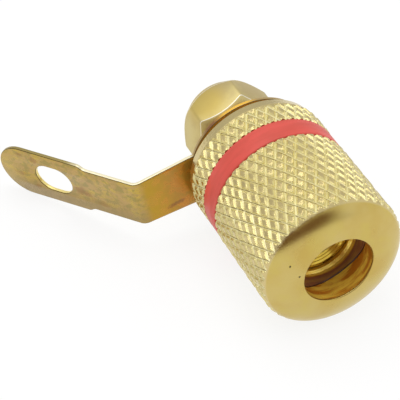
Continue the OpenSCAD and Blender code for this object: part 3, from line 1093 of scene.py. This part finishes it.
# Floor, light and camera, in metres

FLOOR_R = 1.5
FLOOR_SIDES = 64
FLOOR_GRAY = 0.92
FLOOR_GLOW = 1.04
FLOOR_WHITE = 0.8

# Brightness of the surround at its foot and overhead, and the direction and the span of each patch
SKY_STRENGTH = 0.87
SKY_FOOT = 0.72
SKY_TOP = 0.95
SKY_RISE = (0.1, 0.8)
DIM_BROWN = color(0.22, 0.12, 0.07)
DIM_PATCHES = ((Vector((-0.02, -0.95, 0.31)), (0.91, 0.97)), (Vector((-0.55, -0.83, 0.10)), (0.88, 0.97)))
BRIGHT_SIDE = Vector((0.78, -0.56, 0.28))
BRIGHT_SPAN = (0.80, 0.95)
BRIGHT_GRAY = 1.1

SOFTBOX_AT = Vector((-0.03, 0.06, 0.34))
SOFTBOX_SIZE = 0.30
SOFTBOX_WATTS = 0.35

CAMERA_AT = Vector((-0.05299, mouth_y - 0.08929, 0.09688))
CAMERA_RIGHT = Vector((0.9091, -0.4167, 0.0))
CAMERA_UP = Vector((0.2730, 0.5956, 0.7555))
CAMERA_BACK = CAMERA_RIGHT.cross(CAMERA_UP).normalized()
CLIP_NEAR = 0.01
CLIP_FAR = 10
# Sensor and lens in millimetres
SENSOR = 36.0
LENS = 162.0


def floor():
    """White floor. Camera, glossy and transmitted rays see it mostly as plain white, with a faint shadow."""
    bm = bmesh.new()
    bmesh.ops.create_circle(bm, cap_ends=True, segments=FLOOR_SIDES, radius=FLOOR_R)
    mesh = bpy.data.meshes.new("floor")
    bm.to_mesh(mesh)
    bm.free()
    obj = bpy.data.objects.new("floor", mesh)
    obj.location.z = floor_z
    bpy.context.scene.collection.objects.link(obj)
    material = bpy.data.materials.new("floor_white")
    material.use_nodes = True
    nodes = Nodes(material.node_tree)
    nodes.tree.nodes.clear()
    rays = nodes.add("LightPath").outputs
    seen = rays["Is Camera Ray"]
    for name in ("Is Glossy Ray", "Is Transmission Ray"):
        seen = nodes.math("MAXIMUM", seen, rays[name])
    diffuse = nodes.add("BsdfDiffuse", {"Color": gray(FLOOR_GRAY)})
    white = nodes.add("Emission", {"Strength": FLOOR_GLOW})
    blend = nodes.add("MixShader")
    nodes.put(blend.inputs[0], nodes.times(seen, FLOOR_WHITE))
    nodes.put(blend.inputs[1], diffuse.outputs[0])
    nodes.put(blend.inputs[2], white.outputs[0])
    nodes.add("OutputMaterial", {"Surface": blend.outputs[0]})
    mesh.materials.append(material)


def world():
    """Soft surround: pale overhead, darker at its foot, two dim brown patches in front and a bright side."""
    surround = bpy.data.worlds.new("studio")
    surround.use_nodes = True
    nodes = Nodes(surround.node_tree)
    direction = nodes.add("TexCoord").outputs["Generated"]

    def toward(axis, span):
        return nodes.ramp(nodes.vector("DOT_PRODUCT", direction, axis), span)

    sky = nodes.mix(toward((0, 0, 1), SKY_RISE), gray(SKY_FOOT), gray(SKY_TOP))
    for axis, span in DIM_PATCHES:
        sky = nodes.mix(toward(axis, span), sky, DIM_BROWN)
    sky = nodes.mix(toward(BRIGHT_SIDE, BRIGHT_SPAN), sky, gray(BRIGHT_GRAY))
    background = nodes.tree.nodes["Background"]
    nodes.put(background.inputs["Color"], sky)
    nodes.put(background.inputs["Strength"], SKY_STRENGTH)
    bpy.context.scene.world = surround


def softbox():
    """Square lamp overhead, turned to the object."""
    light = bpy.data.lights.new("softbox", "AREA")
    light.shape = "RECTANGLE"
    light.size = SOFTBOX_SIZE
    light.size_y = SOFTBOX_SIZE
    light.energy = SOFTBOX_WATTS
    obj = bpy.data.objects.new("softbox", light)
    obj.location = SOFTBOX_AT
    obj.rotation_euler = (-SOFTBOX_AT).to_track_quat("-Z", "Y").to_euler()
    bpy.context.scene.collection.objects.link(obj)


def camera():
    """Camera at the picture's viewing angle."""
    data = bpy.data.cameras.new("camera")
    data.lens = LENS
    data.sensor_width = SENSOR
    data.clip_start = CLIP_NEAR
    data.clip_end = CLIP_FAR
    obj = bpy.data.objects.new("camera", data)
    turn = Matrix((CAMERA_RIGHT, CAMERA_UP, CAMERA_BACK)).transposed()
    obj.matrix_world = Matrix.Translation(CAMERA_AT) @ turn.to_4x4()
    bpy.context.scene.collection.objects.link(obj)
    bpy.context.scene.camera = obj


cap()
color_ring()
post()
hex_nut()
solder_lug()
floor()
world()
softbox()
camera()
bpy.context.scene.view_settings.view_transform = "Standard"
